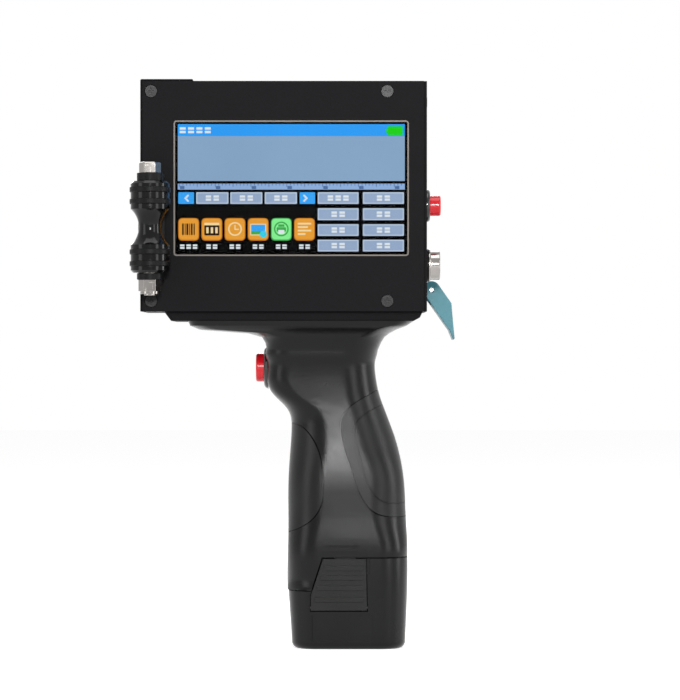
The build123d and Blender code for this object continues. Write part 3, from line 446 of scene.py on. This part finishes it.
# %% Softened edges
MERGE_DISTANCE = 0.002 * MM
FLAT_ANGLE = math.radians(0.4)
SHARP_ANGLE = math.radians(35.0)
BEVEL_SEGMENTS = 2


def softened(node, width):
    """Replace a frame node by a copy of it with its sharp edges bevelled."""
    source = frame["nodes"][node]
    piece = source.copy()
    piece.data = source.data.copy()
    bpy.context.collection.objects.link(piece)
    piece.parent = None
    piece.matrix_world.identity()
    for key in list(piece.keys()):
        del piece[key]
    only(piece)
    bpy.ops.object.mode_set(mode="EDIT")
    bpy.ops.mesh.select_all(action="SELECT")
    bpy.ops.mesh.customdata_custom_splitnormals_clear()
    bpy.ops.mesh.remove_doubles(threshold=MERGE_DISTANCE)
    bpy.ops.mesh.dissolve_limited(angle_limit=FLAT_ANGLE)
    bpy.ops.mesh.normals_make_consistent(inside=False)
    bpy.ops.object.mode_set(mode="OBJECT")
    bpy.ops.object.shade_smooth()
    bevel = piece.modifiers.new("edge", "BEVEL")
    bevel.width = width * MM
    bevel.segments = BEVEL_SEGMENTS
    bevel.limit_method = "ANGLE"
    bevel.angle_limit = SHARP_ANGLE
    bevel.harden_normals = True
    bevel.use_clamp_overlap = True
    apply_modifiers(piece)
    settle(piece, f"{node}_soft", finish_of[node], source["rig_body"])
    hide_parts(node)
    return piece


soft_nodes = {
    "screen_side_cover": ("black_metal", 0.35),
    "far_side_cover": ("black_metal", 0.35),
    "front_nozzle_plate": ("black_metal", 0.3),
    "rear_plate": ("black_metal", 0.25),
    "base_plate": ("black_metal", 0.4),
    "near_roller_bracket": ("black_plastic", 0.4),
    "far_roller_bracket": ("black_plastic", 0.4),
    "latch_lever": ("teal_plastic", 0.4),
    "rear_grip_pad": ("grip_rubber", 0.45),
    "front_grip_pad": ("grip_rubber", 0.35),
    "battery_case": ("handle_plastic", 0.3),
    "handle_near_half": ("handle_plastic", 0.35),
    "handle_far_half": ("handle_plastic", 0.35),
    "near_battery_latch": ("handle_plastic", 0.7),
    "far_battery_latch": ("handle_plastic", 0.7),
    "roller_bolts": ("chrome", 0.5),
    "roller_lock_nuts": ("chrome", 0.4),
    "connector_shell": ("chrome", 0.3),
}
for node, (slot, width) in soft_nodes.items():
    piece = softened(node, width)
    print(piece.name, len(piece.data.polygons), "faces")


# %% [markdown]
# The display is lit from behind, so its picture gives out light rather than catching it.  Each colour field
# is a hair-thin tile standing on the panel, modelled as a box whose corners are bevelled, and all the tiles
# of one colour are joined.  Places are counted in millimetres from the picture's upper left corner.

# %% Display colours
GLOW_GRAIN = 4000.0
GLOW_DRIFT = 25.0
DIMMEST = 0.93


def glowing(name, red, green, blue):
    """A lit display colour with the slight unevenness of a backlight."""
    material, shader = base_material(name)
    tree = material.node_tree
    group = tree.nodes.new("ShaderNodeGroup")
    group.node_tree = fine_grain
    group.inputs["Grain Size"].default_value = GLOW_GRAIN
    group.inputs["Drift Size"].default_value = GLOW_DRIFT
    full = linear(red, green, blue)
    dim = tuple(channel * DIMMEST for channel in full[:3]) + (1.0,)
    glow = mix_colours(tree, spread(tree, group.outputs["Drift"], 0.0, 1.0), dim, full)
    tree.links.new(glow, shader.inputs["Emission Color"])
    shader.inputs["Base Color"].default_value = (0.0, 0.0, 0.0, 1.0)
    shader.inputs["Emission Strength"].default_value = 1.0
    shader.inputs["Specular IOR Level"].default_value = 0.0
    shader.inputs["Roughness"].default_value = 0.9
    return material


glow = {
    "title_blue": glowing("glow_title_blue", 50, 164, 255),
    "key_blue": glowing("glow_key_blue", 60, 172, 255),
    "page_blue": glowing("glow_page_blue", 143, 173, 205),
    "ruler_blue": glowing("glow_ruler_blue", 150, 182, 226),
    "ruler_mark": glowing("glow_ruler_mark", 84, 116, 166),
    "key_grey": glowing("glow_key_grey", 196, 212, 232),
    "key_shade": glowing("glow_key_shade", 158, 178, 208),
    "orange": glowing("glow_orange", 245, 165, 55),
    "orange_deep": glowing("glow_orange_deep", 214, 128, 32),
    "cream": glowing("glow_cream", 255, 226, 170),
    "green": glowing("glow_green", 140, 250, 150),
    "green_deep": glowing("glow_green_deep", 70, 176, 84),
    "battery_green": glowing("glow_battery_green", 35, 220, 25),
    "ink": glowing("glow_ink", 40, 26, 18),
    "white": glowing("glow_white", 235, 240, 245),
    "cyan": glowing("glow_cyan", 60, 215, 240),
}
print("display colours:", len(glow))


# %% [markdown]
# A tile starts as a unit cube or cylinder and is scaled to its place.  Later layers stand a hair nearer to
# the glass, so that no two faces share a plane.

# %% Tiles
picture_width = 95.04
picture_height = 53.86
window_low, window_high = low("window_gasket"), high("window_gasket")
picture_left = ((window_low.x + window_high.x) / 2) - picture_width / 2 * MM
picture_top = ((window_low.z + window_high.z) / 2) + picture_height / 2 * MM
panel_front = low("lcd_module").y
tile_layer = 0.03 * MM
corner_segments = 5
disc_sides = 28
tiles = {name: [] for name in glow}


def tile_count():
    """How many tiles there are so far."""
    return sum(len(pieces) for pieces in tiles.values())


def place_tile(piece, colour, layer, left, top, right, bottom):
    """Scale a unit piece to a tile and put it on the panel, a given number of layers up."""
    piece.scale = ((right - left) * MM, tile_layer * 0.9, (bottom - top) * MM)
    piece.location = (
        picture_left + (left + right) / 2 * MM,
        panel_front - tile_layer * (layer + 0.55),
        picture_top - (top + bottom) / 2 * MM,
    )
    tiles[colour].append(piece)


def tile(colour, left, top, right, bottom, layer=0, corner=0.0):
    """A rectangular tile, with rounded corners if a corner radius is given."""
    deselect()
    bpy.ops.mesh.primitive_cube_add(size=1.0)
    piece = bpy.context.object
    place_tile(piece, colour, layer, left, top, right, bottom)
    if corner:
        bpy.ops.object.transform_apply(location=False, rotation=False, scale=True)
        bpy.ops.object.mode_set(mode="EDIT")
        bpy.ops.mesh.select_mode(type="EDGE")
        bpy.ops.mesh.select_all(action="DESELECT")
        bpy.ops.object.mode_set(mode="OBJECT")
        for edge in piece.data.edges:
            ends = [piece.data.vertices[index].co for index in edge.vertices]
            edge.select = abs(ends[0].y - ends[1].y) > tile_layer * 0.5
        bpy.ops.object.mode_set(mode="EDIT")
        bpy.ops.mesh.bevel(offset=corner * MM, segments=corner_segments, affect="EDGES")
        bpy.ops.object.mode_set(mode="OBJECT")


def disc(colour, across, down, radius, layer):
    """A round tile."""
    deselect()
    bpy.ops.mesh.primitive_cylinder_add(vertices=disc_sides, radius=0.5, depth=1.0,
                                        rotation=(math.pi / 2, 0, 0))
    bpy.ops.object.transform_apply(location=False, rotation=True, scale=False)
    place_tile(bpy.context.object, colour, layer,
               across - radius, down - radius, across + radius, down + radius)


print("tile layer:", tile_layer)


# %% [markdown]
# The picture has a bright title bar with a row of small bars and a battery mark, an empty pale page, and a
# ruler below it that shows where on the package the print will fall.

# %% Title bar, page and ruler
title_bottom, page_bottom = 5.0, 23.8
ruler_top, ruler_bottom = 24.9, 27.4
tick_width, tick_short, tick_long = 0.3, 0.8, 1.3
tile("title_blue", 0.0, 0.0, picture_width, title_bottom)
for start in (0.8, 4.3, 7.8, 11.3):
    tile("white", start, 1.3, start + 2.5, 2.3, layer=1)
    tile("white", start, 2.8, start + 2.5, 3.8, layer=1)
tile("battery_green", 87.9, 0.85, 94.2, 4.65, layer=1, corner=0.3)
tile("battery_green", 87.2, 1.9, 88.0, 3.6, layer=1)
tile("page_blue", 0.0, title_bottom, picture_width, page_bottom)
tile("ruler_blue", 0.0, ruler_top, picture_width, ruler_bottom)
tick_step = 1.5
for index in range(int(picture_width / tick_step)):
    left = 0.5 + index * tick_step
    tick = tick_long if index % 5 == 0 else tick_short
    tile("ruler_mark", left, ruler_top, left + tick_width, ruler_top + tick, layer=1)
for index in range(7):
    left = 0.9 + index * 15.0
    tile("ruler_mark", left, 25.9, left + 1.9, 27.2, layer=1)
print("tiles so far:", tile_count())


# %% [markdown]
# The keys are drawn as a pale rim with a shaded face.  Where a key would be labelled there are only plain
# blocks of two bars, and the two blue keys carry an arrow built from five small steps.

# %% Keys
key_rows = ((28.5, 33.4), (35.2, 40.2), (41.9, 46.8), (48.4, 53.3))


def caption_marks(left, right, top, bottom, count):
    """Small neutral blocks, each of two bars, where a key's caption would be."""
    size = (bottom - top) * 0.46
    gap = size * 0.45
    start = (left + right) / 2 - (count * size + (count - 1) * gap) / 2
    middle = (top + bottom) / 2
    for index in range(count):
        edge = start + index * (size + gap)
        tile("white", edge, middle - size * 0.5, edge + size, middle - size * 0.08, layer=2)
        tile("white", edge, middle + size * 0.08, edge + size, middle + size * 0.5, layer=2)


def key(left, right, row, count):
    """One grey-blue key with a shaded face and neutral caption marks."""
    top, bottom = key_rows[row]
    tile("key_grey", left, top, right, bottom, corner=0.3)
    tile("key_shade", left + 0.5, top + 0.5, right - 0.5, bottom - 0.5, layer=1, corner=0.2)
    caption_marks(left, right, top, bottom, count)


for left, right in ((7.7, 21.2), (22.0, 35.4), (36.4, 49.9)):
    key(left, right, 0, 2)
for row in range(4):
    key(58.6, 75.7, row, 3 if row == 0 else 2)
    key(77.5, 94.7, row, 2)
for left, right, way in ((0.2, 6.8, 1), (51.0, 57.5, -1)):
    top, bottom = key_rows[0]
    tile("key_blue", left, top, right, bottom, corner=0.3)
    middle = (left + right) / 2
    for step in range(5):
        shift = abs(step - 2) * 0.5 * way
        tile("white", middle + shift - 0.7, top + 1.1 + step * 0.55, middle + shift + 0.1,
             top + 1.75 + step * 0.55, layer=1)
print("tiles so far:", tile_count())


# %% [markdown]
# Six rounded icons stand in a row at the lower left.  Each is a plate with a darker rim, and a few tiles on
# it make a plain sign: bars, a film strip, a clock, a landscape, a figure and lines of text.

# %% Icons
icon_left = 0.2
icon_top, icon_bottom = 39.3, 48.8
icon_pitch, icon_size = 9.7, 8.7


def icon_plate(index, colour, rim):
    """The rounded plate of one icon; gives its left edge."""
    left = icon_left + index * icon_pitch
    tile(rim, left, icon_top, left + icon_size, icon_bottom, corner=1.7)
    tile(colour, left + 0.35, icon_top + 0.3, left + icon_size - 0.35, icon_bottom - 0.5,
         layer=1, corner=1.5)
    return left


left = icon_plate(0, "orange", "orange_deep")
for offset, width in ((1.6, 0.7), (2.7, 0.35), (3.4, 0.8), (4.6, 0.35), (5.3, 0.7), (6.4, 0.5)):
    tile("ink", left + offset, icon_top + 2.3, left + offset + width, icon_bottom - 2.4, layer=2)

left = icon_plate(1, "orange", "orange_deep")
tile("cream", left + 1.2, icon_top + 2.0, left + 7.5, icon_top + 3.0, layer=2, corner=0.3)
tile("ink", left + 1.2, icon_top + 3.1, left + 7.5, icon_bottom - 2.2, layer=2, corner=0.4)
for offset in (2.0, 3.9, 5.8):
    tile("cream", left + offset, icon_top + 3.9, left + offset + 1.0, icon_bottom - 3.1, layer=3)

left = icon_plate(2, "orange", "orange_deep")
disc("cream", left + 4.35, icon_top + 4.6, 2.9, layer=2)
disc("orange", left + 4.35, icon_top + 4.6, 2.3, layer=3)
tile("cream", left + 4.1, icon_top + 2.9, left + 4.6, icon_top + 4.9, layer=4)
tile("cream", left + 4.1, icon_top + 4.5, left + 6.0, icon_top + 5.0, layer=4)

left = icon_plate(3, "orange", "orange_deep")
tile("cream", left + 1.0, icon_top + 2.4, left + 7.7, icon_bottom - 2.2, layer=2, corner=0.3)
tile("key_blue", left + 1.4, icon_top + 2.8, left + 7.3, icon_bottom - 3.9, layer=3)
tile("green_deep", left + 1.4, icon_bottom - 3.9, left + 7.3, icon_bottom - 2.6, layer=3)
disc("cyan", left + 6.5, icon_bottom - 2.7, 1.5, layer=4)

left = icon_plate(4, "green", "green_deep")
disc("green_deep", left + 4.35, icon_top + 4.6, 3.1, layer=2)
disc("green", left + 4.35, icon_top + 4.6, 2.5, layer=3)
tile("green_deep", left + 3.1, icon_top + 2.7, left + 5.6, icon_top + 3.7, layer=4)
tile("green_deep", left + 2.4, icon_top + 3.9, left + 6.3, icon_top + 5.7, layer=4, corner=0.3)
tile("white", left + 3.1, icon_top + 5.0, left + 5.6, icon_top + 6.7, layer=5)

left = icon_plate(5, "orange", "orange_deep")
for step, width in enumerate((5.6, 4.2, 5.6, 3.2)):
    line_top = icon_top + 2.0 + step * 1.45
    tile("cream", left + 1.55, line_top, left + 1.55 + width, line_top + 0.75, layer=2)

for index, count in enumerate((3, 2, 2, 2, 2, 2)):
    left = icon_left + index * icon_pitch
    caption_marks(left, left + icon_size, 49.3, 53.3, count)
print("tiles in the picture:", tile_count())


# %% [markdown]
# All the tiles of a colour become one piece.  The display stays on the printer's own body.

# %% Join the tiles of each colour
for colour, pieces in tiles.items():
    settle(joined(pieces), f"display_{colour}", glow[colour], BODY)
print("display pieces:", len(tiles))


# %% [markdown]
# The printer stands on its battery, on a wide flat floor.  The floor catches the shadow as any pale surface
# does, and also glows a little where it is seen directly, so that it runs into the white behind it.

# %% Floor
floor_size = 8.0
floor_glow = 0.7
deselect()
bpy.ops.mesh.primitive_plane_add(size=floor_size)
floor = bpy.context.object
floor.name = "studio_floor"
floor_material, floor_shader = base_material("studio_floor")
floor_tree = floor_material.node_tree
floor_shader.inputs["Base Color"].default_value = (0.9, 0.9, 0.9, 1.0)
floor_shader.inputs["Roughness"].default_value = 0.8
floor_shader.inputs["Specular IOR Level"].default_value = 0.0


def seen_directly(tree):
    """1 for a ray from the camera, or one that comes by a mirror or through glass."""
    path = tree.nodes.new("ShaderNodeLightPath")
    first = tree.nodes.new("ShaderNodeMath")
    first.operation = "MAXIMUM"
    second = tree.nodes.new("ShaderNodeMath")
    second.operation = "MAXIMUM"
    tree.links.new(path.outputs["Is Camera Ray"], first.inputs[0])
    tree.links.new(path.outputs["Is Glossy Ray"], first.inputs[1])
    tree.links.new(first.outputs["Value"], second.inputs[0])
    tree.links.new(path.outputs["Is Transmission Ray"], second.inputs[1])
    return second.outputs["Value"]


floor_lift = floor_tree.nodes.new("ShaderNodeMath")
floor_lift.operation = "MULTIPLY"
floor_lift.inputs[1].default_value = floor_glow
floor_tree.links.new(seen_directly(floor_tree), floor_lift.inputs[0])
floor_tree.links.new(floor_lift.outputs["Value"], floor_shader.inputs["Emission Strength"])
floor_shader.inputs["Emission Color"].default_value = (1.0, 1.0, 1.0, 1.0)
floor.data.materials.append(floor_material)
print("floor at z =", round(low("battery_case").z, 4))


# %% [markdown]
# The room around is white to look at but gives little light of its own.  Dark plastic reflects whatever is
# about it, and a bright room would turn all the blacks grey.

# %% World
room_light = 0.3
backdrop_light = 1.0
world = bpy.data.worlds.new("studio_world")
bpy.context.scene.world = world
world.use_nodes = True
world_tree = world.node_tree
room = world_tree.nodes["Background"]
room.inputs["Color"].default_value = (1.0, 1.0, 1.0, 1.0)
room.inputs["Strength"].default_value = room_light
backdrop = world_tree.nodes.new("ShaderNodeBackground")
backdrop.inputs["Color"].default_value = (1.0, 1.0, 1.0, 1.0)
backdrop.inputs["Strength"].default_value = backdrop_light
choose = world_tree.nodes.new("ShaderNodeMixShader")
world_tree.links.new(seen_directly(world_tree), choose.inputs["Fac"])
world_tree.links.new(room.outputs["Background"], choose.inputs[1])
world_tree.links.new(backdrop.outputs["Background"], choose.inputs[2])
world_tree.links.new(choose.outputs["Shader"], world_tree.nodes["World Output"].inputs["Surface"])
print("world nodes:", len(world_tree.nodes))


# %% [markdown]
# A broad panel overhead lights the head.  A small one in front is aimed at the palm of the grip and makes
# its highlight.  Upright panels at the left and the right draw lines along the rollers and the plated
# parts, and one behind picks out the rear edges.

# %% Lights
def soft_panel(name, place, aim, width, height, power):
    """A rectangular area light that faces a point."""
    lamp = bpy.data.lights.new(name, "AREA")
    lamp.shape = "RECTANGLE"
    lamp.size = width
    lamp.size_y = height
    lamp.energy = power
    holder = bpy.data.objects.new(name, lamp)
    holder.location = place
    holder.rotation_euler = (Vector(aim) - Vector(place)).to_track_quat("-Z", "Y").to_euler()
    bpy.context.collection.objects.link(holder)


middle = Vector((0.0, 0.0, 0.12))
palm = Vector((-0.002, -0.021, 0.088))
soft_panel("overhead_panel", (0.0, -0.2, 1.1), middle, width=0.9, height=0.6, power=5.0)
soft_panel("key_panel", (0.03, -1.5, 0.45), palm, width=0.17, height=0.2, power=10.0)
soft_panel("left_panel", (-0.95, -0.6, 0.4), middle, width=0.4, height=0.9, power=3.0)
soft_panel("right_strip", (0.75, -0.85, 0.3), middle, width=0.3, height=0.8, power=3.0)
soft_panel("far_right_strip", (1.1, -0.1, 0.3), middle, width=0.16, height=0.8, power=4.0)
soft_panel("back_panel", (-0.2, 1.2, 0.6), middle, width=0.6, height=0.5, power=5.0)


# %% [markdown]
# A long lens set well back and level with the middle of the printer shows the screen side square on, with
# little perspective.  Its distance follows from the lens and from how much it should take in.

# %% Camera
screen_face = low("screen_side_cover").y
frame_long_side = 0.2926
lens = 180.0
sensor = 36.0
camera_across, camera_height = -0.0038, 0.126
camera_data = bpy.data.cameras.new("front_camera")
camera_data.lens = lens
camera_data.sensor_width = sensor
camera = bpy.data.objects.new("front_camera", camera_data)
camera.location = (camera_across, screen_face - frame_long_side * lens / sensor, camera_height)
camera.rotation_euler = (math.pi / 2, 0.0, 0.0)
bpy.context.collection.objects.link(camera)
bpy.context.scene.camera = camera
bpy.context.scene.view_settings.view_transform = "Standard"
print("camera distance:", round(camera.location.y, 3))
